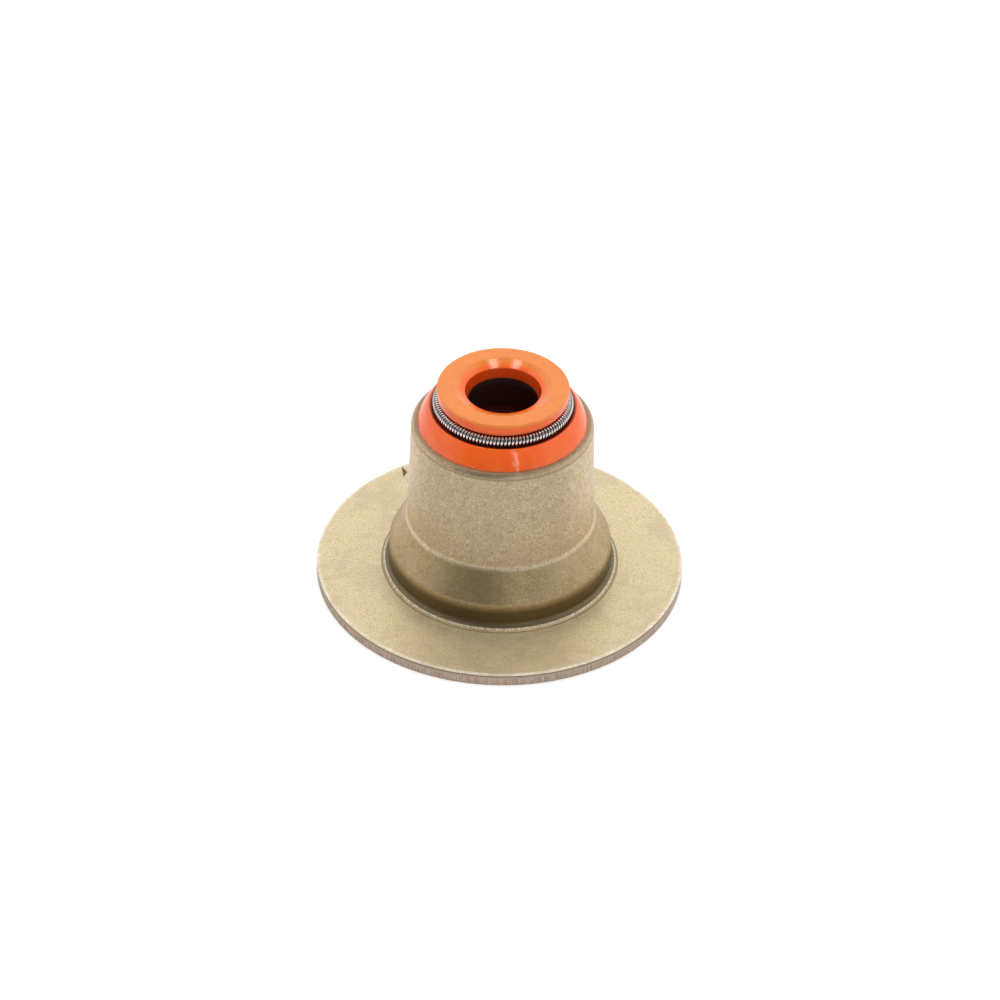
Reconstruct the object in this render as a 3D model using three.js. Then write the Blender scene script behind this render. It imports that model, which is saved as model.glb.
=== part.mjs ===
import * as THREE from 'three';

// A valve stem seal with its own spring seat: a drawn steel shell, a rubber seal moulded onto
// it and a garter spring round the sealing head. Millimetres, +Z up. The origin is the centre
// of the flange's underside, and every piece is round about Z.

// Driving dimensions.

// Sealing lip, and the dish that leads the stem into it.
const stemDiameter = 7.0;
const lipBite = 0.32;
const lipLand = 0.2;
const lipDepth = 0.95;
const boreFlare = 0.31;
const dishWidth = 0.97;
const dishDepth = 0.42;

// Rubber lining inside the tube, which grips the valve guide, and the chamber above the guide.
const guideDiameter = 12.2;
const liningThickness = 1.35;
const liningGap = 0.5;
const liningLeadIn = 0.35;
const ribRise = 0.2;
const ribWidth = 0.9;
const ribPitch = 2.6;
const ribMargin = 1.3;
const guideStopThickness = 0.5;
const chamberFlare = 1.42;
const chamberHeight = 2.0;

// Steel tube, a little wider at its foot, and the rim turned in at its top.
const wall = 0.9;
const tubeFlare = 0.31;
const rimHeight = 17.3;
const rimRound = 0.6;
const rimNeck = 1.0;

// Shoulder from the tube down to the wide step, and the low collar round the foot of the step.
const shoulderSpread = 1.64;
const shoulderRise = 3.13;
const shoulderFillet = 1.5;
const stepHeight = 3.77;
const stepRound = 1.0;
const footFillet = 0.42;
const footBend = 0.9;
const collarRise = 0.3;
const collarLand = 0.06;
const collarDraft = 0.07;

// Flange, on which the valve spring stands.
const flangeDiameter = 34.0;
const flangeThickness = 1.2;
const flangeEdgeRound = 0.13;

// Head round the lip, and the cone from it down to the steel rim.
const headRim = 1.59;
const headSide = 0.85;
const headEdgeRound = 0.15;
const headLap = 0.4;
const coneRise = 1.78;
const coneTopReach = 0.93;
const coneBulge = 0.1;
const coneTopRound = 0.15;

// Garter spring, a closed ring of coiled wire in the groove under the head.
const springInset = 0.18;
const springRise = 0.25;
const coilDiameter = 1.1;
const wireDiameter = 0.25;
const turnGap = 0.057;
const grooveClearance = 0.05;

// Facets round the axis, along each kind of bend in a section, and on the wire.
const roundSegments = 56;
const edgeSteps = 2;
const bendSteps = 3;
const grooveSteps = 6;
const stationsPerTurn = 8;
const wireSides = 4;

// Radii that follow from the driving dimensions, from the stem outwards.
const lipRadius = stemDiameter / 2 - lipBite;
const boreRadius = lipRadius + boreFlare;
const dishRadius = boreRadius + dishWidth;
const headRadius = dishRadius + headRim;
const coilRadius = coilDiameter / 2;
const springRadius = headRadius - springInset;
const grooveRadius = coilRadius + grooveClearance;
const chamberRadius = lipRadius + chamberFlare;
const rimHoleRadius = chamberRadius + rimNeck;
const guideRadius = guideDiameter / 2;
const tubeTopRadius = guideRadius + liningThickness + wall;
const rimFlatRadius = tubeTopRadius - rimRound;
const tubeFootRadius = tubeTopRadius + tubeFlare;
const stepRadius = tubeFootRadius + shoulderSpread;
const stepInnerRadius = stepRadius - wall;
const collarRadius = stepRadius + footFillet + collarLand + collarDraft;
const flangeRadius = flangeDiameter / 2;

// Heights that follow, from the flange upwards.
const collarTop = flangeThickness + collarRise;
const shoulderTop = stepHeight + shoulderRise;
const rimUnderside = rimHeight - wall;
const guideStop = rimUnderside - guideStopThickness;
const coneTop = rimHeight + coneRise;
const springHeight = coneTop + springRise;
const headFoot = springHeight + coilRadius + headLap;
const headTop = headFoot + headSide;
const boreEdgeHeight = headTop - dishDepth;
const lipHeight = boreEdgeHeight - lipDepth;

const point = (radius, height) => new THREE.Vector2(radius, height);

// The half of a circle that lies nearer the axis, from its lowest point to its highest.
function innerHalfCircle(centre, radius, steps) {
  const lowest = point(centre.x, centre.y - radius);
  const points = [];
  for (let i = 0; i <= steps; i += 1) {
    points.push(lowest.clone().rotateAround(centre, -Math.PI * i / steps));
  }
  return points;
}

// Points of the arc of one radius that rounds the corner between two straight runs.
function rounded(before, corner, after, radius, steps) {
  const toBefore = before.clone().sub(corner).normalize();
  const toAfter = after.clone().sub(corner).normalize();
  const halfAngle = toBefore.angleTo(toAfter) / 2;
  const centre = toBefore.clone().add(toAfter).setLength(radius / Math.sin(halfAngle)).add(corner);
  const reach = radius / Math.tan(halfAngle);
  const start = corner.clone().addScaledVector(toBefore, reach);
  const turn = Math.sign(toAfter.cross(toBefore)) * (Math.PI - 2 * halfAngle);
  const points = [];
  for (let i = 0; i <= steps; i += 1) {
    points.push(start.clone().rotateAround(centre, turn * i / steps));
  }
  return points;
}

// Solid of revolution about Z. The section is closed, and runs counter-clockwise with the
// radius to the right and the height up.
function revolved(section) {
  const geometry = new THREE.LatheGeometry([...section, section[0]], roundSegments);
  return geometry.rotateX(Math.PI / 2);
}

// The shoulder's lean from the vertical sets how far its inner corners lie below the outer ones.
const shoulderLean = Math.atan2(stepRadius - tubeFootRadius, shoulderRise);
const innerDrop = wall * Math.tan(shoulderLean / 2);
const tubeInnerFoot = point(tubeFootRadius - wall, shoulderTop - innerDrop);
const tubeInnerTop = point(tubeTopRadius - wall, rimUnderside);

// Where the lining's foot ends on the tube's inner wall.
const liningFoot = tubeInnerFoot.y + liningGap;
const liningShare = (liningFoot - tubeInnerFoot.y) / (tubeInnerTop.y - tubeInnerFoot.y);
const liningOuterFoot = tubeInnerFoot.clone().lerp(tubeInnerTop, liningShare);

// Line on which rubber and steel are bonded, from the lining's foot up the tube's inner wall,
// in under the rim, through its hole and out over it to where the rim rounds off.
const bondLine = [
  liningOuterFoot,
  tubeInnerTop,
  point(rimHoleRadius, rimUnderside),
  point(rimHoleRadius, rimHeight),
  point(rimFlatRadius, rimHeight),
];

// The drawn shell: up its outside from the flange to the rim, in along the bond line, and down
// its inside. The rim's rounding ends where the bond line does.
function steelShellSection() {
  const flangeFoot = point(flangeRadius, 0);
  const flangeCorner = point(flangeRadius, flangeThickness);
  const collarFoot = point(collarRadius, flangeThickness);
  const collarCrest = point(collarRadius - collarDraft, collarTop);
  const wallFoot = point(stepRadius, collarTop);
  const stepCorner = point(stepRadius, stepHeight);
  const shoulderCorner = point(tubeFootRadius, shoulderTop);
  const rimCorner = point(tubeTopRadius, rimHeight);
  const rimCentre = point(rimFlatRadius, rimHeight);
  const stepInnerCorner = point(stepInnerRadius, stepHeight - innerDrop);
  const mouthCorner = point(stepInnerRadius, 0);
  return [
    flangeFoot,
    ...rounded(flangeFoot, flangeCorner, collarFoot, flangeEdgeRound, edgeSteps),
    collarFoot,
    collarCrest,
    ...rounded(collarCrest, wallFoot, stepCorner, footFillet, bendSteps),
    ...rounded(wallFoot, stepCorner, shoulderCorner, stepRound, edgeSteps),
    ...rounded(stepCorner, shoulderCorner, rimCorner, shoulderFillet, edgeSteps),
    ...rounded(shoulderCorner, rimCorner, rimCentre, rimRound, bendSteps).slice(0, -1),
    ...[...bondLine].reverse(),
    tubeInnerFoot,
    stepInnerCorner,
    ...rounded(stepInnerCorner, mouthCorner, flangeFoot, footBend, bendSteps),
  ];
}

// Small ridges inside the lining, as many as its height holds, from the top one down.
function gripRibs() {
  const points = [];
  const middle = (liningFoot + guideStop) / 2;
  const gaps = Math.floor((guideStop - liningFoot - 2 * ribMargin) / ribPitch);
  for (let i = 0; i <= gaps; i += 1) {
    const height = middle + ribPitch * (gaps / 2 - i);
    points.push(point(guideRadius, height + ribWidth / 2));
    points.push(point(guideRadius - ribRise, height));
    points.push(point(guideRadius, height - ribWidth / 2));
  }
  return points;
}

// The cone's outer line, bowed out a little between its foot and its top.
function coneLine(foot, top) {
  const outward = top.clone().sub(foot).rotateAround(point(0, 0), -Math.PI / 2).normalize();
  const middle = foot.clone().lerp(top, 0.5).addScaledVector(outward, 2 * coneBulge);
  return new THREE.QuadraticBezierCurve(foot, middle, top).getPoints(bendSteps).slice(1, -1);
}

// The moulded seal: along the bond line, up the cone, round the groove and over the head, then
// down through the lip, the chamber and the lining.
function rubberSealSection() {
  const coneFoot = point(rimFlatRadius, rimHeight);
  const coneCorner = point(springRadius + coneTopReach, coneTop);
  const grooveCentre = point(springRadius, springHeight);
  const grooveFoot = point(springRadius, springHeight - grooveRadius);
  const headCorner = point(headRadius, headTop);
  const headFootEdge = point(headRadius, headFoot);
  const dishEdge = point(dishRadius, headTop);
  return [
    ...bondLine,
    ...coneLine(coneFoot, coneCorner),
    ...rounded(coneFoot, coneCorner, grooveFoot, coneTopRound, edgeSteps),
    ...innerHalfCircle(grooveCentre, grooveRadius, grooveSteps),
    headFootEdge,
    ...rounded(headFootEdge, headCorner, dishEdge, headEdgeRound, edgeSteps),
    dishEdge,
    point(boreRadius, boreEdgeHeight),
    point(lipRadius, lipHeight),
    point(lipRadius, lipHeight - lipLand),
    point(chamberRadius, guideStop + chamberHeight),
    point(chamberRadius, guideStop),
    point(guideRadius, guideStop),
    ...gripRibs(),
    point(guideRadius, liningFoot + liningLeadIn),
    point(guideRadius + liningLeadIn, liningFoot),
  ];
}

// The wire winds round a circle, and its last turn meets its first. The gap between turns is
// taken at the middle of the coil.
function garterSpringGeometry() {
  const wireRadius = wireDiameter / 2;
  const windingRadius = coilRadius - wireRadius;
  const turns = Math.round(2 * Math.PI * springRadius / (wireDiameter + turnGap));
  const stations = turns * stationsPerTurn;

  const wireCentre = (ringAngle) => {
    const coilAngle = ringAngle * turns;
    const radius = springRadius + windingRadius * Math.cos(coilAngle);
    const height = springHeight + windingRadius * Math.sin(coilAngle);
    return new THREE.Vector3(radius * Math.cos(ringAngle), radius * Math.sin(ringAngle), height);
  };

  const positions = [];
  for (let station = 0; station < stations; station += 1) {
    const ringAngle = 2 * Math.PI * station / stations;
    const halfStep = Math.PI / stations;
    const centre = wireCentre(ringAngle);
    const tangent = wireCentre(ringAngle + halfStep).sub(wireCentre(ringAngle - halfStep)).normalize();
    const coilCentre = new THREE.Vector3(
      springRadius * Math.cos(ringAngle), springRadius * Math.sin(ringAngle), springHeight);
    const outward = centre.clone().sub(coilCentre).normalize();
    const sideways = new THREE.Vector3().crossVectors(tangent, outward).normalize();
    for (let side = 0; side < wireSides; side += 1) {
      const angle = 2 * Math.PI * side / wireSides;
      const corner = centre.clone()
        .addScaledVector(outward, wireRadius * Math.cos(angle))
        .addScaledVector(sideways, wireRadius * Math.sin(angle));
      positions.push(corner.x, corner.y, corner.z);
    }
  }

  const indices = [];
  for (let station = 0; station < stations; station += 1) {
    const here = station * wireSides;
    const next = (station + 1) % stations * wireSides;
    for (let side = 0; side < wireSides; side += 1) {
      const beside = (side + 1) % wireSides;
      indices.push(here + side, next + beside, next + side);
      indices.push(here + side, here + beside, next + beside);
    }
  }

  const geometry = new THREE.BufferGeometry();
  geometry.setAttribute('position', new THREE.Float32BufferAttribute(positions, 3));
  geometry.setIndex(indices);
  geometry.computeVertexNormals();
  return geometry;
}

// Materials.
const steel = new THREE.MeshStandardMaterial({ color: 0xa8987a, roughness: 0.45, metalness: 0.9 });
const rubber = new THREE.MeshStandardMaterial({ color: 0xe06a28, roughness: 0.35, metalness: 0.0 });
const springSteel = new THREE.MeshStandardMaterial({ color: 0xc9c9cc, roughness: 0.25, metalness: 1.0 });

function piece(name, geometry, material) {
  const mesh = new THREE.Mesh(geometry, material);
  mesh.name = name;
  return mesh;
}

const valveStemSeal = new THREE.Group();
valveStemSeal.name = 'valve_stem_seal';
valveStemSeal.add(
  piece('steel_shell', revolved(steelShellSection()), steel),
  piece('rubber_seal', revolved(rubberSealSection()), rubber),
  piece('garter_spring', garterSpringGeometry(), springSteel),
);

export default valveStemSeal;
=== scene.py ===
import math

import bpy
import numpy as np
from mathutils import Matrix, Vector

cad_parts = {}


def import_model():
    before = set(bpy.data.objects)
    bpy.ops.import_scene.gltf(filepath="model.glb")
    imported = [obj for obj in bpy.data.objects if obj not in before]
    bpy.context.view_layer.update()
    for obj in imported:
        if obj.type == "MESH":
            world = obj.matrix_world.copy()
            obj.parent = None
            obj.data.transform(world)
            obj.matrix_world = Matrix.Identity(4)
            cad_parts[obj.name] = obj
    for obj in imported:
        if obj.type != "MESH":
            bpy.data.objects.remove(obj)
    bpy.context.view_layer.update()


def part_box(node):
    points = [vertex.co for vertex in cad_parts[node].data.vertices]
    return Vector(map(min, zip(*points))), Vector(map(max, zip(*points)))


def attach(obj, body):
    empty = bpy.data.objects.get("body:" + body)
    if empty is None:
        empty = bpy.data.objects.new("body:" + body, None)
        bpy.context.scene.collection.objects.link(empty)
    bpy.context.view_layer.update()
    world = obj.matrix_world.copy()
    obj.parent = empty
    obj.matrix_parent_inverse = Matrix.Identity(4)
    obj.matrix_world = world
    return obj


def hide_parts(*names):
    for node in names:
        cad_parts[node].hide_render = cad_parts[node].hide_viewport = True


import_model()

# A valve stem seal with its own spring seat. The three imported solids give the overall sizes, and
# each is replaced by a finer mesh of the same form: the drawn shell, the moulded rubber seal and
# the garter spring. Lengths are in metres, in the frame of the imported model.

MM = 0.001

# Overall sizes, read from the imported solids.
shell_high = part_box("steel_shell")[1]
seal_low, seal_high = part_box("rubber_seal")
spring_low, spring_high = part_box("garter_spring")
FLANGE_R = shell_high.x
RIM_Z = shell_high.z
HEAD_Z = seal_high.z
CONE_FOOT_R = seal_high.x
LINING_Z = seal_low.z
COIL_R = (spring_high.z - spring_low.z) / 2
SPRING_R = spring_high.x - COIL_R
SPRING_Z = (spring_high.z + spring_low.z) / 2

# Shell.
WALL = 0.9 * MM
FLANGE_T = 1.2 * MM
FLANGE_EDGE = 0.13 * MM
FLANGE_BURR = 0.05 * MM
RIM_ROUND = 0.6 * MM
TUBE_FLARE = 0.31 * MM
SHOULDER_SPREAD = 1.64 * MM
SHOULDER_RISE = 3.13 * MM
SHOULDER_FILLET = 1.0 * MM
STEP_Z = 3.77 * MM
STEP_ROUND = 1.0 * MM
FOOT_FILLET = 0.42 * MM
FOOT_BEND = 0.9 * MM
COLLAR_RISE = 0.3 * MM
COLLAR_LAND = 0.06 * MM
COLLAR_DRAFT = 0.07 * MM
COLLAR_ROUND = 0.05 * MM
COLLAR_FOOT = 0.04 * MM

# Rubber seal.
STEM_R = 3.5 * MM
LIP_BITE = 0.32 * MM
LIP_LAND = 0.2 * MM
LIP_DEPTH = 0.95 * MM
BORE_FLARE = 0.31 * MM
DISH_WIDTH = 0.97 * MM
DISH_DEPTH = 0.42 * MM
HEAD_RIM = 1.59 * MM
HEAD_SIDE = 0.85 * MM
HEAD_EDGE = 0.15 * MM
CONE_RISE = 1.78 * MM
CONE_REACH = 0.93 * MM
CONE_BULGE = 0.1 * MM
CONE_EDGE = 0.15 * MM
GUIDE_R = 6.1 * MM
LEAD_IN = 0.35 * MM
RIB_RISE = 0.2 * MM
RIB_WIDTH = 0.9 * MM
RIB_PITCH = 2.6 * MM
RIB_COUNT = 3
GUIDE_STOP = 0.5 * MM
CHAMBER_FLARE = 1.42 * MM
CHAMBER_RISE = 2.0 * MM
RIM_NECK = 1.0 * MM
GROOVE_GAP = 0.05 * MM
GROOVE_EDGE = 0.06 * MM
DISH_EDGE = 0.25 * MM
BORE_EDGE = 0.05 * MM
LIP_EDGE = 0.08 * MM
CHAMBER_TOP_EDGE = 0.4 * MM
CHAMBER_EDGE = 0.15 * MM
STOP_EDGE = 0.2 * MM
LEAD_EDGE = 0.1 * MM
LINING_EDGE = 0.05 * MM

# Garter spring.
WIRE_R = 0.14 * MM
TURNS = 120

# Radii and heights that follow.
TUBE_TOP_R = CONE_FOOT_R + RIM_ROUND
TUBE_FOOT_R = TUBE_TOP_R + TUBE_FLARE
STEP_R = TUBE_FOOT_R + SHOULDER_SPREAD
STEP_INNER_R = STEP_R - WALL
SHOULDER_Z = STEP_Z + SHOULDER_RISE
COLLAR_Z = FLANGE_T + COLLAR_RISE
COLLAR_R = STEP_R + FOOT_FILLET + COLLAR_LAND
LIP_R = STEM_R - LIP_BITE
BORE_R = LIP_R + BORE_FLARE
DISH_R = BORE_R + DISH_WIDTH
HEAD_R = DISH_R + HEAD_RIM
CHAMBER_R = LIP_R + CHAMBER_FLARE
RIM_HOLE_R = CHAMBER_R + RIM_NECK
RIM_UNDER_Z = RIM_Z - WALL
STOP_Z = RIM_UNDER_Z - GUIDE_STOP
BORE_Z = HEAD_Z - DISH_DEPTH
LIP_Z = BORE_Z - LIP_DEPTH
GROOVE_R = COIL_R + GROOVE_GAP

# The drop from the bend outside the shoulder to the bend inside it, one wall further in.
BEND_DROP = WALL * math.tan(math.atan2(SHOULDER_SPREAD, SHOULDER_RISE) / 2)

# Two heights or radii closer than this are the same.
SAME = 0.001 * MM


# Section lines. Each rounding is given with its radius and its number of facets.

SUPPORT = 0.05 * MM
SHORTEST_SUPPORTED = 4 * SUPPORT


def at(radius, height):
    """A point of a section, with the radius first and the height second."""
    return Vector((radius, height))


def rounded(before, corner, after, radius, steps):
    """Points of the arc that rounds the corner between two straight runs."""
    to_before = (before - corner).normalized()
    to_after = (after - corner).normalized()
    half = to_before.angle(to_after) / 2
    centre = corner + (to_before + to_after).normalized() * radius / math.sin(half)
    start = corner + to_before * radius / math.tan(half) - centre
    cross = to_after.x * to_before.y - to_after.y * to_before.x
    turn = math.copysign(math.pi - 2 * half, cross)
    points = []
    for i in range(steps + 1):
        a = turn * i / steps
        points.append(centre + at(start.x * math.cos(a) - start.y * math.sin(a),
                                  start.x * math.sin(a) + start.y * math.cos(a)))
    return points


def run(start, end, steps):
    """Points between two ends of a straight run, without the ends."""
    return [start.lerp(end, i / steps) for i in range(1, steps)]


def supported(section):
    """The section with a point near both ends of each long run, so that flat faces shade flat."""
    points = []
    for start, end in zip(section, section[1:] + section[:1]):
        points.append(start)
        length = (end - start).length
        if length > SHORTEST_SUPPORTED:
            points.append(start.lerp(end, SUPPORT / length))
            points.append(start.lerp(end, 1 - SUPPORT / length))
    return points


def revolve(name, section, angles):
    """A ring-shaped mesh: a closed section, counter-clockwise, swept round Z through the angles."""
    profile = np.array([tuple(p) for p in supported(section)])
    count, turns = len(profile), len(angles)
    radius, height = profile[:, 0], profile[:, 1]
    x = np.outer(np.cos(angles), radius)
    y = np.outer(np.sin(angles), radius)
    z = np.tile(height, (turns, 1))
    places = np.stack([x, y, z], -1).reshape(-1, 3)
    i, j = np.meshgrid(np.arange(turns), np.arange(count), indexing="ij")
    i2, j2 = (i + 1) % turns, (j + 1) % count
    faces = np.stack([i * count + j, i2 * count + j, i2 * count + j2, i * count + j2], -1)
    return mesh_object(name, places, faces.reshape(-1, 4))


def mesh_object(name, places, faces):
    mesh = bpy.data.meshes.new(name)
    mesh.from_pydata(places.tolist(), [], faces.tolist())
    mesh.update()
    mesh.shade_smooth()
    piece = bpy.data.objects.new(name, mesh)
    bpy.context.scene.collection.objects.link(piece)
    return piece


# Steel shell.

ROUND_STEPS = 256
NICK_STEP = math.radians(0.1)
NICK_CORNERS = [(-9.58 * MM, 13.98 * MM), (-9.3 * MM, 12.15 * MM), (-8.93 * MM, 13.0 * MM)]
NICK_MARGIN = 3 * NICK_STEP
NICK_SLOPE = 1.1
NICK_DEPTH = 0.16 * MM
NICK_REACH = 2.0 * MM
NICK_RINGS = 46
FLANGE_RINGS = 6
TUBE_RINGS = 4


def shell_section():
    foot = at(FLANGE_R, 0)
    flange_corner = at(FLANGE_R, FLANGE_T)
    collar_foot = at(COLLAR_R + COLLAR_DRAFT, FLANGE_T)
    collar_crest = at(COLLAR_R, COLLAR_Z)
    wall_foot = at(STEP_R, COLLAR_Z)
    step = at(STEP_R, STEP_Z)
    shoulder = at(TUBE_FOOT_R, SHOULDER_Z)
    rim = at(TUBE_TOP_R, RIM_Z)
    rim_flat = at(CONE_FOOT_R, RIM_Z)
    rim_edge = at(RIM_HOLE_R, RIM_Z)
    rim_under = at(RIM_HOLE_R, RIM_UNDER_Z)
    tube_top_inside = at(TUBE_TOP_R - WALL, RIM_UNDER_Z)
    tube_foot_inside = at(TUBE_FOOT_R - WALL, SHOULDER_Z - BEND_DROP)
    step_inside = at(STEP_INNER_R, STEP_Z - BEND_DROP)
    mouth = at(STEP_INNER_R, 0)
    edge_rounding = rounded(foot, flange_corner, collar_foot, FLANGE_EDGE, 6)
    flange_start = edge_rounding[-1]
    nick_inner = at(FLANGE_R - NICK_REACH, FLANGE_T)
    return [
        *rounded(mouth, foot, flange_corner, FLANGE_BURR, 3),
        *edge_rounding,
        *run(flange_start, nick_inner, NICK_RINGS),
        nick_inner,
        *run(nick_inner, collar_foot, FLANGE_RINGS),
        *rounded(flange_start, collar_foot, collar_crest, COLLAR_FOOT, 3),
        *rounded(collar_foot, collar_crest, wall_foot, COLLAR_ROUND, 4),
        *rounded(collar_crest, wall_foot, step, FOOT_FILLET, 8),
        *rounded(wall_foot, step, shoulder, STEP_ROUND, 8),
        *rounded(step, shoulder, rim, SHOULDER_FILLET, 8),
        *run(shoulder, rim, TUBE_RINGS),
        *rounded(shoulder, rim, rim_flat, RIM_ROUND, 10),
        rim_edge,
        rim_under,
        tube_top_inside,
        tube_foot_inside,
        step_inside,
        *rounded(step_inside, mouth, foot, FOOT_BEND, 8),
    ]


def shell_angles():
    """Even steps round the axis, with finer ones across the nick in the flange."""
    corners = [math.atan2(y, x) for x, y in NICK_CORNERS]
    first, last = min(corners) - NICK_MARGIN, max(corners) + NICK_MARGIN
    even = np.linspace(0, 2 * math.pi, ROUND_STEPS, endpoint=False)
    fine = np.arange(first, last, NICK_STEP)
    return np.concatenate([even[even < first], fine, even[even > last]])


def press_nick(piece):
    """Sinks the small three-cornered dent into the flange's top face."""
    corners = np.array(NICK_CORNERS)
    places = np.empty(len(piece.data.vertices) * 3)
    piece.data.vertices.foreach_get("co", places)
    places = places.reshape(-1, 3)
    inside = np.full(len(places), np.inf)
    for a, b in zip(corners, np.roll(corners, -1, 0)):
        along = (b - a) / np.linalg.norm(b - a)
        offset = places[:, :2] - a
        inside = np.minimum(inside, along[0] * offset[:, 1] - along[1] * offset[:, 0])
    top = np.abs(places[:, 2] - FLANGE_T) < SAME
    depth = np.clip(inside * NICK_SLOPE, 0, NICK_DEPTH)
    places[:, 2] -= np.where(top, depth, 0)
    piece.data.vertices.foreach_set("co", places.ravel())
    piece.data.update()


# Rubber seal.

GROOVE_STEPS = 16
CONE_STEPS = 12
RIB_STEPS = 10

# The thin rubber at the foot of the cone: how far it spreads, and its waves round the part.
FLASH = 0.05 * MM
FLASH_MEAN = 0.35
FLASH_SWING = 0.3
FLASH_WAVES = [(17, 0.0), (41, 1.3), (73, 2.1)]
FLASH_WIDTH = 0.1 * MM


def seal_section():
    tube_top = at(TUBE_TOP_R - WALL, RIM_UNDER_Z)
    tube_foot = at(TUBE_FOOT_R - WALL, SHOULDER_Z - BEND_DROP)
    share = (LINING_Z - tube_foot.y) / (tube_top.y - tube_foot.y)
    lining_foot = tube_foot.lerp(tube_top, share)
    cone_foot = at(CONE_FOOT_R, RIM_Z)
    cone_top = at(SPRING_R + CONE_REACH, RIM_Z + CONE_RISE)
    groove = at(SPRING_R, SPRING_Z)
    groove_foot = at(SPRING_R, SPRING_Z - GROOVE_R)
    groove_top = at(SPRING_R, SPRING_Z + GROOVE_R)
    head = at(HEAD_R, HEAD_Z)
    head_foot = at(HEAD_R, HEAD_Z - HEAD_SIDE)
    dish = at(DISH_R, HEAD_Z)
    bore = at(BORE_R, BORE_Z)
    lip = at(LIP_R, LIP_Z)
    land = at(LIP_R, LIP_Z - LIP_LAND)
    chamber_top = at(CHAMBER_R, STOP_Z + CHAMBER_RISE)
    chamber = at(CHAMBER_R, STOP_Z)
    stop = at(GUIDE_R, STOP_Z)
    lead_top = at(GUIDE_R, LINING_Z + LEAD_IN)
    lead_foot = at(GUIDE_R + LEAD_IN, LINING_Z)
    return [
        lining_foot,
        tube_top,
        at(RIM_HOLE_R, RIM_UNDER_Z),
        at(RIM_HOLE_R, RIM_Z),
        cone_foot,
        *cone_line(cone_foot, cone_top),
        *rounded(cone_foot, cone_top, groove_foot, CONE_EDGE, 5),
        *[groove + at(-math.sin(a), -math.cos(a)) * GROOVE_R
          for a in np.linspace(0, math.pi, GROOVE_STEPS + 1)],
        *rounded(groove_top, head_foot, head, GROOVE_EDGE, 3),
        *rounded(head_foot, head, dish, HEAD_EDGE, 6),
        *rounded(head, dish, bore, DISH_EDGE, 5),
        *rounded(dish, bore, lip, BORE_EDGE, 4),
        *rounded(bore, lip, land, LIP_EDGE, 3),
        *rounded(lip, land, chamber_top, LIP_EDGE, 3),
        *rounded(land, chamber_top, chamber, CHAMBER_TOP_EDGE, 4),
        *rounded(chamber_top, chamber, stop, CHAMBER_EDGE, 3),
        *rounded(chamber, stop, lead_top, STOP_EDGE, 3),
        *rib_line(),
        *rounded(stop, lead_top, lead_foot, LEAD_EDGE, 3),
        *rounded(lead_top, lead_foot, lining_foot, LINING_EDGE, 2),
    ]


def cone_line(foot, top):
    """The cone's outer line, bowed out a little, without its ends and the part that the
    rounding at its top takes up."""
    along = top - foot
    outward = at(along.y, -along.x).normalized()
    points = []
    for share in np.linspace(0, 1, CONE_STEPS + 1)[1:-2]:
        bow = 4 * CONE_BULGE * share * (1 - share)
        points.append(foot + along * share + outward * bow)
    return points


def rib_line():
    """Rounded ridges inside the lining, from the top one down."""
    middle = (LINING_Z + STOP_Z) / 2
    points = []
    for i in range(RIB_COUNT):
        centre = middle + RIB_PITCH * ((RIB_COUNT - 1) / 2 - i)
        for share in np.linspace(-1, 1, RIB_STEPS + 1):
            rise = RIB_RISE * (0.5 + 0.5 * math.cos(math.pi * share))
            points.append(at(GUIDE_R - rise, centre - share * RIB_WIDTH / 2))
    return points


def feather_edge(piece):
    """Makes the foot of the cone, where the rubber thins out on the steel, slightly uneven."""
    for vertex in piece.data.vertices:
        radius = math.hypot(vertex.co.x, vertex.co.y)
        if abs(vertex.co.z - RIM_Z) > SAME or radius < CONE_FOOT_R - FLASH_WIDTH:
            continue
        angle = math.atan2(vertex.co.y, vertex.co.x)
        wave = sum(math.sin(count * angle + phase) for count, phase in FLASH_WAVES)
        grown = 1 + FLASH * (FLASH_MEAN + FLASH_SWING * wave) / radius
        vertex.co.x *= grown
        vertex.co.y *= grown


# Garter spring.

STATIONS_PER_TURN = 20
WIRE_SIDES = 10

# Waves of the uneven turns round the ring: size, count and phase.
UNEVEN_TURNS = [(0.5, 3, 0.4), (0.2, 7, 0.0), (0.1, 19, 1.0)]


def garter_spring():
    """Wire wound round a circle. Its turns lie a little unevenly, as on a stretched spring."""
    stations = TURNS * STATIONS_PER_TURN
    winding = COIL_R - WIRE_R
    ring = np.linspace(0, 2 * math.pi, stations, endpoint=False)

    def wire(angle):
        coil = TURNS * angle + sum(size * np.sin(count * angle + phase)
                                   for size, count, phase in UNEVEN_TURNS)
        radius = SPRING_R + winding * np.cos(coil)
        height = SPRING_Z + winding * np.sin(coil)
        return np.stack([radius * np.cos(angle), radius * np.sin(angle), height], -1)

    step = math.pi / stations
    centre = wire(ring)
    tangent = wire(ring + step) - wire(ring - step)
    tangent /= np.linalg.norm(tangent, axis=1, keepdims=True)
    level = np.full_like(ring, SPRING_Z)
    middle = np.stack([SPRING_R * np.cos(ring), SPRING_R * np.sin(ring), level], -1)
    outward = centre - middle
    outward /= np.linalg.norm(outward, axis=1, keepdims=True)
    sideways = np.cross(tangent, outward)
    sideways /= np.linalg.norm(sideways, axis=1, keepdims=True)
    around = np.linspace(0, 2 * math.pi, WIRE_SIDES, endpoint=False)
    spokes = (outward[:, None] * np.cos(around)[None, :, None]
              + sideways[:, None] * np.sin(around)[None, :, None])
    places = (centre[:, None] + WIRE_R * spokes).reshape(-1, 3)
    i, j = np.meshgrid(np.arange(stations), np.arange(WIRE_SIDES), indexing="ij")
    here, ahead, j2 = i * WIRE_SIDES, (i + 1) % stations * WIRE_SIDES, (j + 1) % WIRE_SIDES
    faces = np.stack([here + j, here + j2, ahead + j2, ahead + j], -1)
    return mesh_object("spring_wire_ring", places, faces.reshape(-1, 4))


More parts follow.
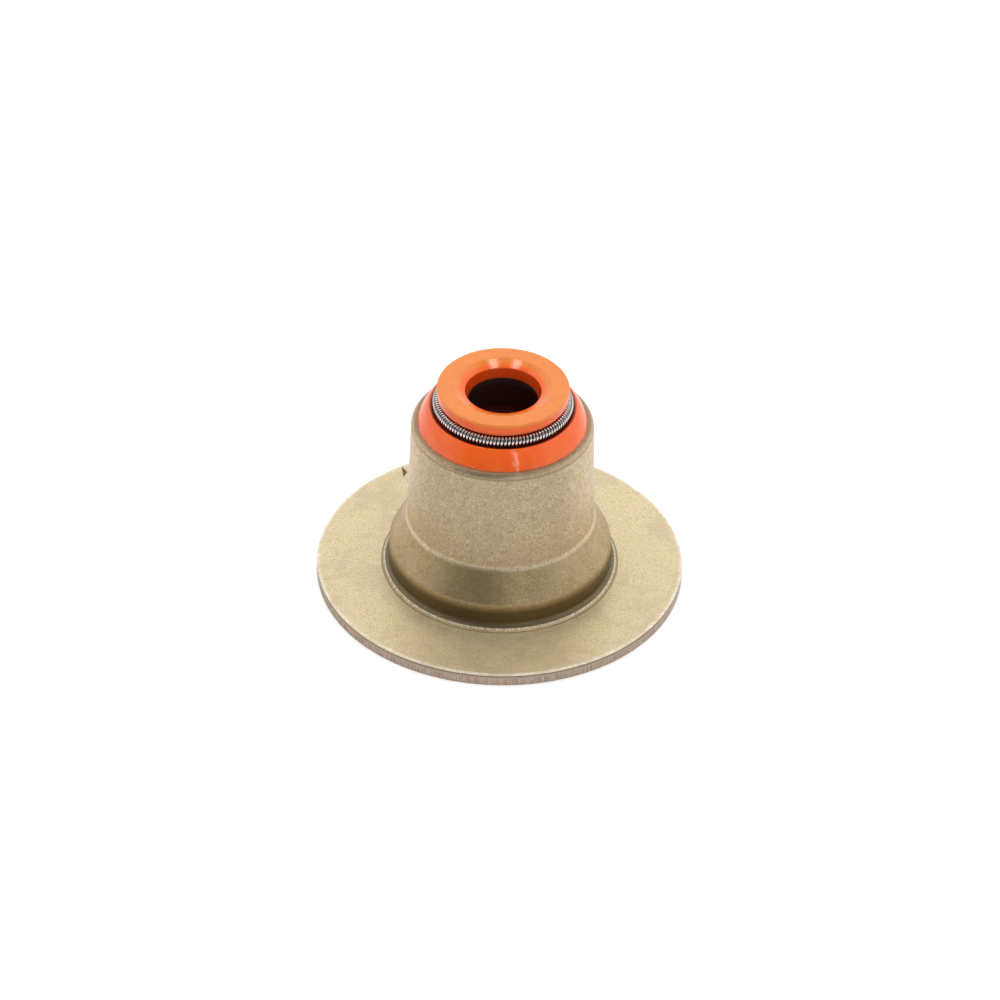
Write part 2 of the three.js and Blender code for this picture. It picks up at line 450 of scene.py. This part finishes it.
# Materials. Their coordinates are in millimetres about the part's axis. A mask is 1 inside its
# feature and 0 outside it, and the colours are linear.

MASK_CORE = 0.3


def mm(length):
    """A length in millimetres, the unit of the materials' coordinates."""
    return length / MM


class Graph:
    """Short forms for building a node tree."""

    def __init__(self, tree):
        self.tree = tree

    def node(self, kind):
        return self.tree.nodes.new(kind)

    def link(self, source, target):
        self.tree.links.new(source, target)

    def feed(self, sockets, values):
        """Sets each socket to its number or colour, or links it to its node output."""
        for socket, value in zip(sockets, values):
            if isinstance(value, tuple):
                socket.default_value = (*value, 1)
            elif isinstance(value, (int, float)):
                socket.default_value = value
            else:
                self.link(value, socket)

    def math(self, operation, *values):
        node = self.node("ShaderNodeMath")
        node.operation = operation
        self.feed(node.inputs, values)
        return node.outputs[0]

    def add(self, first, second):
        return self.math("ADD", first, second)

    def minus(self, first, second):
        return self.math("SUBTRACT", first, second)

    def times(self, first, second):
        return self.math("MULTIPLY", first, second)

    def larger(self, first, second):
        return self.math("MAXIMUM", first, second)

    def length(self, *parts):
        """Length of the vector with these parts."""
        total = self.times(parts[0], parts[0])
        for part in parts[1:]:
            total = self.add(total, self.times(part, part))
        return self.math("SQRT", total)

    def parts(self, vector):
        node = self.node("ShaderNodeSeparateXYZ")
        self.link(vector, node.inputs[0])
        return node.outputs

    def combine(self, x, y, z):
        node = self.node("ShaderNodeCombineXYZ")
        self.feed(node.inputs, (x, y, z))
        return node.outputs[0]

    def ramp(self, value, low, high, to_low=0.0, to_high=1.0):
        """A smooth step between two values, from one level to another."""
        node = self.node("ShaderNodeMapRange")
        node.interpolation_type = "SMOOTHSTEP"
        names = ("Value", "From Min", "From Max", "To Min", "To Max")
        self.feed([node.inputs[name] for name in names], (value, low, high, to_low, to_high))
        return node.outputs["Result"]

    def facing_dark(self, x, y, least):
        """How far a level direction turns to the room's dark side: 1 towards it, -1 away."""
        towards = self.add(self.times(x, math.sin(DARK_AZIMUTH)),
                           self.times(y, -math.cos(DARK_AZIMUTH)))
        return self.math("DIVIDE", towards, self.larger(self.length(x, y), least))


class Nodes(Graph):
    """The node tree of a new material, with the shaded point's place about the axis."""

    def __init__(self, name):
        self.material = bpy.data.materials.new(name)
        self.material.use_nodes = True
        super().__init__(self.material.node_tree)
        self.shader = self.tree.nodes["Principled BSDF"]
        scale = self.node("ShaderNodeVectorMath")
        scale.operation = "SCALE"
        scale.inputs["Scale"].default_value = 1 / MM
        self.link(self.node("ShaderNodeTexCoord").outputs["Object"], scale.inputs[0])
        self.place = scale.outputs[0]
        self.x, self.y, self.height = self.parts(self.place)
        self.radius = self.length(self.x, self.y)
        self.angle = self.math("ARCTAN2", self.y, self.x)

    def noise(self, vector, scale, detail, roughness):
        node = self.node("ShaderNodeTexNoise")
        node.inputs["Scale"].default_value = scale
        node.inputs["Detail"].default_value = detail
        node.inputs["Roughness"].default_value = roughness
        self.link(vector, node.inputs["Vector"])
        return node.outputs["Fac"]

    def band(self, value, middle, half_width):
        """1 round the middle, falling smoothly to 0 at the half width."""
        distance = self.math("ABSOLUTE", self.minus(value, middle))
        return self.ramp(distance, half_width, half_width * MASK_CORE)

    def near(self, spot, reach):
        """1 round a spot, given in millimetres, falling smoothly to 0 at the reach."""
        place = (self.x, self.y, self.height)
        distance = self.length(*[self.minus(part, middle) for part, middle in zip(place, spot)])
        return self.ramp(distance, reach, reach * MASK_CORE)

    def shifted(self, offset):
        """The place moved along each axis, so that two noises don't repeat each other."""
        return self.combine(*[self.add(part, offset) for part in (self.x, self.y, self.height)])

    def coil_distance(self):
        """Distance of the shaded point from the garter spring's centre line."""
        return self.length(self.minus(self.radius, mm(SPRING_R)),
                           self.minus(self.height, mm(SPRING_Z)))

    def mix(self, factor, first, second):
        node = self.node("ShaderNodeMix")
        node.data_type = "RGBA"
        self.feed((node.inputs[0], node.inputs[6], node.inputs[7]), (factor, first, second))
        return node.outputs[2]

    def tint(self, colour, mask, strength, tone):
        """The colour turned towards a tone inside the mask."""
        return self.mix(self.times(mask, strength), colour, tone)

    def finish(self, colour, roughness, relief, depth):
        """Links the colour, the roughness and a relief of the given depth to the shader."""
        bump = self.node("ShaderNodeBump")
        bump.inputs["Strength"].default_value = 1.0
        bump.inputs["Distance"].default_value = depth
        self.link(relief, bump.inputs["Height"])
        self.link(bump.outputs["Normal"], self.shader.inputs["Normal"])
        self.link(colour, self.shader.inputs["Base Color"])
        self.link(roughness, self.shader.inputs["Roughness"])
        return self.material


# Steel: a pair of tones for each region, mottled together, then one tone for each mark.
FLANGE_TONES = (0.93, 0.76, 0.50), (0.87, 0.75, 0.43)
# The shoulder's darker tones are painted shade, the same all round.
SHADED_SHOULDER_TONES = (0.39, 0.27, 0.125), (0.43, 0.32, 0.145)
TUBE_TONES = (0.63, 0.48, 0.32), (0.70, 0.57, 0.37)
# A painted highlight on the collar's crest, dark between bright glints.
CREST_GLINT_TONES = (0.42, 0.34, 0.22), (1.0, 0.93, 0.80)
SHEARED_TONES = (0.76, 0.61, 0.48), (0.38, 0.27, 0.20)
# A painted highlight on the rounding at the tube's foot.
FILLET_HIGHLIGHT_TONE = (0.95, 0.82, 0.60)
DARK_GRAIN_TONE = (0.42, 0.31, 0.17)
LIGHT_GRAIN_TONE = (0.95, 0.84, 0.62)
PIT_TONE = (0.34, 0.24, 0.14)
STAIN_TONE = (0.55, 0.42, 0.29)
# Painted shade for the corner at the foot of the step wall.
CORNER_SHADE_TONE = (0.10, 0.07, 0.03)
OUTLINE_TONE = (0.20, 0.13, 0.06)
SHEAR_LINE_TONE = (0.25, 0.18, 0.12)
# A painted highlight on the flange's rounded upper edge.
RIM_HIGHLIGHT_TONE = (1.0, 0.95, 0.82)
SPECK_TONE = (0.10, 0.06, 0.03)
NICK_TONE = (0.26, 0.18, 0.08)
# The rounding at the top of the tube: a darker brown, and a painted shade line where it turns down.
RIM_DARKENING_TONE = (0.26, 0.14, 0.07)
RIM_SHADE_LINE_TONE = (0.20, 0.14, 0.08)

STAIN_SCALE = 0.4
MOTTLE_SCALE = 1.3
PIT_SCALE = 2.6
PIT_SHIFT = 7.3
GRAIN_SCALE = 7.5
FILLET_HIGHLIGHT_STRENGTH = 0.45
CORNER_SHADE_STRENGTH = 0.85
CREST_GLINT_STRENGTH = 0.95
OUTLINE_STRENGTH = 0.7
SPECKS = (-8.93, -6.01, 1.3), (2.21, -8.67, 7.9)
SPECK_R = 0.16
SPECK_STRENGTH = 0.85
RIM_SHADE_LINE_STRENGTH = 0.45
STEEL_RELIEF = 0.012 * MM


def body_of_steel(n, grain, pits):
    """The steel away from its edges: flange, shoulder and tube, with grain, pits and stain, painted
    shade on the shoulder and a painted highlight at the tube's foot.
    """
    on_wall = n.ramp(n.height, mm(COLLAR_Z), mm(COLLAR_Z) + 0.5)
    on_tube = n.ramp(n.height, mm(SHOULDER_Z) - 0.5, mm(SHOULDER_Z) + 0.2)
    mottle = n.ramp(n.noise(n.place, MOTTLE_SCALE, 4, 0.65), 0.4, 0.6)
    # The shoulder takes darker tones than the tube as painted shade.
    wall = n.mix(on_tube, n.mix(mottle, *SHADED_SHOULDER_TONES), n.mix(mottle, *TUBE_TONES))
    colour = n.mix(on_wall, n.mix(mottle, *FLANGE_TONES), wall)
    # A thin painted highlight round the rounding at the tube's foot.
    ring = n.band(n.height, mm(SHOULDER_Z) - 0.1, 0.3)
    colour = n.tint(colour, ring, FILLET_HIGHLIGHT_STRENGTH, FILLET_HIGHLIGHT_TONE)
    colour = n.mix(n.ramp(grain, 0.38, 0.62, 0.5, 0.0), colour, DARK_GRAIN_TONE)
    colour = n.mix(n.ramp(grain, 0.5, 0.7, 0.0, 0.5), colour, LIGHT_GRAIN_TONE)
    more_on_tube = n.ramp(on_tube, 0.0, 1.0, 0.35, 0.7)
    colour = n.tint(colour, n.ramp(pits, 0.52, 0.64), more_on_tube, PIT_TONE)
    stain = n.noise(n.place, STAIN_SCALE, 3, 0.6)
    return n.mix(n.ramp(stain, 0.45, 0.62, 0.0, 0.3), colour, STAIN_TONE)


def foot_marks(n, colour, uneven):
    """Painted shade in the corner at the foot, a painted highlight broken into glints on the
    collar's crest, and a dark line round it.
    """
    # Painted shade in the corner between the step wall and the collar.
    corner = n.times(n.ramp(n.height, mm(STEP_Z) - 0.05, mm(STEP_Z) - 0.95),
                     n.ramp(n.radius, mm(COLLAR_R) - 0.02, mm(STEP_R) + 0.3))
    colour = n.tint(colour, corner, CORNER_SHADE_STRENGTH, CORNER_SHADE_TONE)
    # A painted highlight along the collar's crest, broken into glints.
    crest_glints = n.times(n.band(n.radius, mm(COLLAR_R), 0.11), n.band(n.height, mm(COLLAR_Z), 0.14))
    crest_glint_colour = n.mix(n.ramp(uneven, 0.38, 0.6), *CREST_GLINT_TONES)
    colour = n.tint(colour, crest_glints, CREST_GLINT_STRENGTH, crest_glint_colour)
    outline = n.times(n.band(n.radius, mm(COLLAR_R + COLLAR_DRAFT) + 0.1, 0.14),
                      n.ramp(n.height, mm(FLANGE_T) - 0.2, mm(FLANGE_T) - 0.1))
    return n.tint(colour, outline, OUTLINE_STRENGTH, OUTLINE_TONE), crest_glints


def sheared_edge(n, colour, side, streaks):
    """The side of the flange: upright streaks with a dark line above them."""
    sheared = n.mix(n.ramp(streaks, 0.35, 0.65), *SHEARED_TONES)
    sheared = n.mix(n.band(n.height, mm(FLANGE_T) - 0.2, 0.1), sheared, SHEAR_LINE_TONE)
    return n.mix(side, colour, sheared)


def painted_rim_highlight(n, colour, uneven):
    """A painted highlight on the flange's rounded upper edge, brighter in places."""
    rim = n.times(n.ramp(n.radius, mm(FLANGE_R) - 0.34, mm(FLANGE_R) - 0.18),
                  n.ramp(n.height, mm(FLANGE_T) - 0.14, mm(FLANGE_T) - 0.09))
    stretches = n.noise(n.combine(n.times(n.angle, 8.0), 0.0, 0.0), 1.0, 2, 0.6)
    rim_highlight_strength = n.times(n.ramp(uneven, 0.3, 0.6, 0.25, 0.75), n.ramp(stretches, 0.4, 0.6, 0.35, 1.0))
    return n.tint(colour, rim, rim_highlight_strength, RIM_HIGHLIGHT_TONE), rim


def small_marks(n, colour):
    """Two dark specks, on the collar and low on the tube, and the bottom of the nick."""
    for spot in SPECKS:
        colour = n.tint(colour, n.near(spot, SPECK_R), SPECK_STRENGTH, SPECK_TONE)
    # Between the collar and the edge, only the nick lies a little below the flange's top.
    below_top = n.times(n.ramp(n.height, mm(FLANGE_T) - 0.01, mm(FLANGE_T) - 0.05),
                        n.ramp(n.height, 0.7, 0.9))
    on_flange = n.times(n.ramp(n.radius, mm(FLANGE_R) - 0.12, mm(FLANGE_R) - 0.3),
                        n.ramp(n.radius, mm(COLLAR_R) + 0.5, mm(COLLAR_R) + 1.0))
    return n.mix(n.times(below_top, on_flange), colour, NICK_TONE)


def darkened_rim(n, colour):
    """A darker brown on the rounding at the top of the tube, most next to the rubber, ending in a
    painted shade line.
    """
    rounding = mm(RIM_Z - RIM_ROUND)
    rim_darkening = n.ramp(n.height, rounding - 0.05, rounding + 0.1)
    depth = n.ramp(n.radius, mm(TUBE_TOP_R) - 0.1, mm(CONE_FOOT_R) + 0.22, 0.15, 0.65)
    colour = n.tint(colour, rim_darkening, depth, RIM_DARKENING_TONE)
    # Painted shade line where the rounding turns down.
    edge = n.band(n.height, rounding + 0.05, 0.16)
    return n.tint(colour, edge, RIM_SHADE_LINE_STRENGTH, RIM_SHADE_LINE_TONE)


def steel_material():
    n = Nodes("drawn_steel")
    grain = n.noise(n.place, GRAIN_SCALE, 3, 0.75)
    pits = n.noise(n.shifted(PIT_SHIFT), PIT_SCALE, 5, 0.85)
    uneven = n.noise(n.combine(n.times(n.angle, 30.0), n.radius, 0.0), 1.3, 3, 0.7)
    upright = n.combine(n.times(n.angle, 60.0), 0.0, n.times(n.height, 0.3))
    streaks = n.noise(upright, 4.0, 3, 0.7)
    side = n.times(n.ramp(n.radius, mm(FLANGE_R) - 0.1, mm(FLANGE_R) - 0.04),
                   n.ramp(n.height, mm(FLANGE_T) - 0.08, mm(FLANGE_T) - 0.16))

    colour = body_of_steel(n, grain, pits)
    colour, crest_glints = foot_marks(n, colour, uneven)
    colour = sheared_edge(n, colour, side, streaks)
    colour, rim = painted_rim_highlight(n, colour, uneven)
    colour = darkened_rim(n, small_marks(n, colour))

    # The painted highlights on the collar's crest and the flange's edge are also less metallic and
    # smoother.
    bright = n.larger(crest_glints, rim)
    satin = n.ramp(grain, 0.35, 0.65, 0.48, 0.36)
    metallic = n.ramp(n.height, mm(FLANGE_T) + 0.1, mm(COLLAR_Z) + 0.4, 0.6, 0.97)
    n.link(n.minus(metallic, n.times(bright, 0.35)), n.shader.inputs["Metallic"])
    relief = n.mix(side, n.add(grain, n.times(pits, 0.6)), n.times(streaks, 1.5))
    return n.finish(colour, n.minus(satin, n.times(bright, 0.15)), relief, STEEL_RELIEF)


# Rubber: a pair of tones for the cone and one for the head, then one tone for each mark. The cone's
# redder, darker tones are painted shade next to the lit head.
SHADED_CONE_TONES = (0.96, 0.122, 0.010), (0.97, 0.145, 0.014)
LIT_HEAD_TONES = (0.86, 0.24, 0.034), (0.88, 0.265, 0.042)
RUBBER_SPECK_TONE = (0.6, 0.07, 0.01)
# Painted shade on the bore's wall below its edge.
BORE_SHADE_TONE = (0.46, 0.028, 0.002)
SCRATCH_TONE = (1.0, 0.55, 0.30)
THROAT_SHADE_TONE = (0.02, 0.003, 0.002)
# Painted shade in the spring's groove.
GROOVE_SHADE_TONE = (0.10, 0.006, 0.003)
BORE_SHADE_STRENGTH = 0.75
SCRATCH_STRENGTH = 0.6
THROAT_SHADE_STRENGTH = 0.97
GROOVE_SHADE_STRENGTH = 0.9
BLOTCH_SCALE = 0.9
RUBBER_SPECK_SCALE = 9.0
SCRATCH_ANGLE = math.radians(-79)
RUBBER_SPECULAR = 0.55
RUBBER_RELIEF = 0.003 * MM


def scratches(n):
    """Mask of the fine scratches beside the streak of light on the cone."""
    patch = n.times(n.band(n.angle, SCRATCH_ANGLE, 0.11), n.band(n.height, mm(RIM_Z) + 0.45, 0.6))
    slanted = n.add(n.times(n.angle, 70.0), n.times(n.height, 6.0))
    lines = n.noise(n.combine(slanted, n.times(n.height, 1.2), 0.0), 1.0, 2, 0.5)
    return n.times(patch, n.ramp(lines, 0.56, 0.64))


def rubber_material():
    n = Nodes("orange_rubber")
    blotch = n.ramp(n.noise(n.place, BLOTCH_SCALE, 3, 0.5), 0.3, 0.7)
    speck = n.noise(n.place, RUBBER_SPECK_SCALE, 2, 0.5)
    # Below the head's top the rubber takes redder, darker tones as painted shade.
    on_head = n.ramp(n.height, mm(HEAD_Z) - 0.4, mm(HEAD_Z) - 0.05)
    colour = n.mix(on_head, n.mix(blotch, *SHADED_CONE_TONES), n.mix(blotch, *LIT_HEAD_TONES))
    colour = n.mix(n.ramp(speck, 0.6, 0.7, 0.0, 0.4), colour, RUBBER_SPECK_TONE)
    # Painted shade on the bore's wall just below its edge.
    bore_shade = n.times(n.ramp(n.radius, mm(BORE_R) + 0.1, mm(BORE_R) - 0.02),
                        n.ramp(n.height, mm(BORE_Z), mm(BORE_Z) - 0.12))
    colour = n.tint(colour, bore_shade, BORE_SHADE_STRENGTH, BORE_SHADE_TONE)
    colour = n.tint(colour, scratches(n), SCRATCH_STRENGTH, SCRATCH_TONE)

    # Below the lip the bore is painted near-black as shade, down to the lining.
    throat = n.times(n.ramp(n.radius, mm(GUIDE_R) + 0.2, mm(GUIDE_R)),
                     n.times(n.ramp(n.height, mm(LIP_Z) + 0.1, mm(LIP_Z) - 0.02),
                             n.ramp(n.height, mm(LINING_Z) + 2.0, mm(STOP_Z))))
    colour = n.tint(colour, throat, THROAT_SHADE_STRENGTH, THROAT_SHADE_TONE)

    # The spring's groove is painted dark as shade, and so is the cone just outside its lower lip.
    from_coil = n.coil_distance()
    groove = n.ramp(from_coil, mm(GROOVE_R) + 0.08, mm(GROOVE_R) + 0.02)
    lip = n.times(n.ramp(from_coil, mm(GROOVE_R) + 0.36, mm(GROOVE_R) + 0.14),
                  n.ramp(n.height, mm(SPRING_Z), mm(SPRING_Z) - 0.1))
    colour = n.tint(colour, n.larger(groove, lip), GROOVE_SHADE_STRENGTH, GROOVE_SHADE_TONE)

    gloss = n.ramp(n.noise(n.place, 3.0, 3, 0.6), 0.3, 0.7, 0.10, 0.16)
    n.shader.inputs["Specular IOR Level"].default_value = RUBBER_SPECULAR
    round_axis = n.combine(n.times(n.radius, 5.0), n.times(n.angle, 0.6), n.times(n.height, 5.0))
    relief = n.add(n.noise(round_axis, 2.0, 2, 0.5), n.times(speck, 0.5))
    return n.finish(colour, n.add(gloss, n.times(throat, 0.7)), relief, RUBBER_RELIEF)


# Spring wire.
WIRE_TONES = (0.97, 0.95, 0.93), (0.88, 0.84, 0.81)
# Dirt and painted shade between the turns, painted shade under the coil, and a painted dark
# reflection above its middle.
WIRE_DIRT_AND_SHADE_TONE = (0.08, 0.018, 0.012)
WIRE_DIRT_AND_SHADE_STRENGTH = 0.93
WAIST_REFLECTION_STRENGTH = 0.75


def spring_material():
    """Bright wire with dirt and painted shade between its turns, painted shade under the coil and a
    painted dark reflection in a line above its middle.
    """
    n = Nodes("spring_wire")
    stain = n.noise(n.place, 2.2, 2, 0.5)
    colour = n.mix(n.ramp(stain, 0.35, 0.7), *WIRE_TONES)
    crevice = n.ramp(n.coil_distance(), mm(COIL_R) - 0.02, mm(COIL_R) - 0.09)
    underside_shade = n.ramp(n.height, mm(SPRING_Z - 0.25 * COIL_R), mm(SPRING_Z - 0.6 * COIL_R))
    waist_reflection = n.times(n.band(n.height, mm(SPRING_Z + 0.62 * COIL_R), 0.15), WAIST_REFLECTION_STRENGTH)
    dirt_and_shade = n.larger(n.larger(crevice, underside_shade), waist_reflection)
    colour = n.tint(colour, dirt_and_shade, WIRE_DIRT_AND_SHADE_STRENGTH, WIRE_DIRT_AND_SHADE_TONE)
    n.link(colour, n.shader.inputs["Base Color"])
    polish = n.ramp(n.noise(n.place, 8.0, 2, 0.5), 0.3, 0.7, 0.2, 0.3)
    n.link(polish, n.shader.inputs["Roughness"])
    n.shader.inputs["Metallic"].default_value = 1.0
    return n.material


# Pieces.

SHELL_SHARP = math.radians(32)
SEAL_SHARP = math.radians(40)


def dress(piece, node, material):
    piece.data.materials.append(material)
    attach(piece, "root")
    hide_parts(node)


def build_pieces():
    shell = revolve("drawn_shell", shell_section(), shell_angles())
    press_nick(shell)
    shell.data.set_sharp_from_angle(angle=SHELL_SHARP)
    dress(shell, "steel_shell", steel_material())

    even = np.linspace(0, 2 * math.pi, ROUND_STEPS, endpoint=False)
    seal = revolve("moulded_seal", seal_section(), even)
    feather_edge(seal)
    seal.data.set_sharp_from_angle(angle=SEAL_SHARP)
    dress(seal, "rubber_seal", rubber_material())

    dress(garter_spring(), "garter_spring", spring_material())


# Stage: floor, light and camera. The room is white behind the part and at its sides, and dark
# towards the photographer and overhead.

DARK_LEVEL = 0.13
DARK_AZIMUTH = math.radians(-8)
SIDE_LEVEL = 0.82
BACK_LEVEL = 0.15
CEILING_START = math.sin(math.radians(52))
CEILING_END = math.sin(math.radians(72))
WHITE = (1.0, 1.0, 1.0)

FLOOR_HALF = 3.0
FLOOR_ALBEDO = 0.74
FLOOR_LIFT = 0.45
FRONT_REFLECTED = 0.1
FAR_FLOOR_START = 60.0
FAR_FLOOR_END = 110.0


def floor():
    """A white sheet. Seen directly or in a reflection it is lifted towards white, and the part's
    shadow stays on it. In reflections it is darker close in front of the part."""
    mesh = bpy.data.meshes.new("floor")
    h = FLOOR_HALF
    mesh.from_pydata([(-h, -h, 0), (h, -h, 0), (h, h, 0), (-h, h, 0)], [], [(0, 1, 2, 3)])
    piece = bpy.data.objects.new("floor", mesh)
    bpy.context.scene.collection.objects.link(piece)
    n = Nodes("floor")
    facing = n.facing_dark(n.x, n.y, 1.0)
    reflected = n.larger(n.ramp(facing, 0.35, -0.45, FRONT_REFLECTED, 1.0),
                         n.ramp(n.radius, FAR_FLOOR_START, FAR_FLOOR_END))
    path = n.node("ShaderNodeLightPath")
    seen = n.larger(path.outputs["Is Camera Ray"],
                    n.times(path.outputs["Is Glossy Ray"], reflected))
    sheet = (FLOOR_ALBEDO, FLOOR_ALBEDO, FLOOR_ALBEDO)
    names = ("Base Color", "Roughness", "Specular IOR Level", "Emission Color")
    n.feed([n.shader.inputs[name] for name in names], (sheet, 1.0, 0.0, WHITE))
    n.link(n.times(seen, FLOOR_LIFT), n.shader.inputs["Emission Strength"])
    mesh.materials.append(n.material)


def world():
    """The room's light. The camera itself sees plain white."""
    room = bpy.data.worlds.new("room")
    bpy.context.scene.world = room
    room.use_nodes = True
    g = Graph(room.node_tree)
    x, y, z = g.parts(g.node("ShaderNodeTexCoord").outputs["Generated"])
    facing = g.facing_dark(x, y, 0.01)
    around = g.add(g.ramp(facing, 0.95, 0.2, 0.0, SIDE_LEVEL),
                   g.ramp(facing, -0.2, -0.9, 0.0, BACK_LEVEL))
    below_ceiling = g.ramp(z, CEILING_START, CEILING_END, 1.0, 0.0)
    level = g.add(g.times(around, below_ceiling), DARK_LEVEL)
    choose = g.node("ShaderNodeMix")
    choose.data_type = "FLOAT"
    seen = g.node("ShaderNodeLightPath").outputs["Is Camera Ray"]
    g.feed((choose.inputs[0], choose.inputs[2], choose.inputs[3]), (seen, level, 1.0))
    background = g.tree.nodes["Background"]
    g.feed((background.inputs["Color"], background.inputs["Strength"]), (WHITE, choose.outputs[0]))


def softbox(name, towards, distance, width, height, radiance, glossy=True):
    """A rectangular lamp that faces the part, with its brightness given so that 1 is white."""
    lamp = bpy.data.lights.new(name, "AREA")
    lamp.shape = "RECTANGLE"
    lamp.size = width
    lamp.size_y = height
    lamp.energy = radiance * math.pi * width * height
    light = bpy.data.objects.new(name, lamp)
    bpy.context.scene.collection.objects.link(light)
    outward = Vector(towards).normalized()
    light.location = outward * distance
    light.rotation_mode = "QUATERNION"
    light.rotation_quaternion = (-outward).to_track_quat("-Z", "Y")
    light.visible_camera = False
    light.visible_glossy = glossy


def lamps():
    """Three lamps that show as highlights, and four wide ones that only light."""
    softbox("overhead_right", towards=(0.155, 0.106, 0.982), distance=0.5,
            width=0.045, height=0.07, radiance=12.0)
    softbox("overhead_left", towards=(-0.2, 0.12, 0.97), distance=0.5,
            width=0.05, height=0.07, radiance=12.0)
    softbox("front_strip", towards=(0.285, -0.82, 0.50), distance=0.6,
            width=0.022, height=0.50, radiance=9.0)
    softbox("fill_above", towards=(0.0, 0.1, 1.0), distance=0.9,
            width=1.2, height=1.2, radiance=0.62, glossy=False)
    softbox("fill_left", towards=(-1.0, -0.15, 0.35), distance=0.9,
            width=0.8, height=0.8, radiance=0.3, glossy=False)
    softbox("fill_right", towards=(1.0, -0.15, 0.35), distance=0.9,
            width=0.8, height=0.8, radiance=0.3, glossy=False)
    softbox("fill_front", towards=(0.0, -1.0, 0.45), distance=0.9,
            width=1.0, height=0.6, radiance=0.8, glossy=False)


# Camera, placed from the flange's radius: the photograph's view fitted by projecting circles.
CAMERA_ELEVATION = math.radians(38.4936)
CAMERA_DISTANCE = 27.7226 * FLANGE_R
CAMERA_ROLL = math.radians(1.2214)
CAMERA_TARGET = Vector((-0.00488, 0, 0.4768)) * FLANGE_R
CAMERA_LENS = 181.786
SENSOR_WIDTH = 36.0
CLIP_START = 0.01
CLIP_END = 20


def camera():
    data = bpy.data.cameras.new("camera")
    data.lens = CAMERA_LENS
    data.sensor_width = SENSOR_WIDTH
    data.clip_start = CLIP_START
    data.clip_end = CLIP_END
    view = bpy.data.objects.new("camera", data)
    bpy.context.scene.collection.objects.link(view)
    level, rise = math.cos(CAMERA_ELEVATION), math.sin(CAMERA_ELEVATION)
    place = Vector((0, -level, rise)) * CAMERA_DISTANCE
    forward = (CAMERA_TARGET - place).normalized()
    right = forward.cross(Vector((0, 0, 1))).normalized()
    up = right.cross(forward)
    tilted_right = right * math.cos(CAMERA_ROLL) + up * math.sin(CAMERA_ROLL)
    tilted_up = up * math.cos(CAMERA_ROLL) - right * math.sin(CAMERA_ROLL)
    turn = Matrix((tilted_right, tilted_up, -forward)).transposed()
    view.matrix_world = Matrix.Translation(place) @ turn.to_4x4()
    bpy.context.scene.camera = view


camera()
build_pieces()
floor()
world()
lamps()
bpy.context.scene.view_settings.view_transform = "Standard"
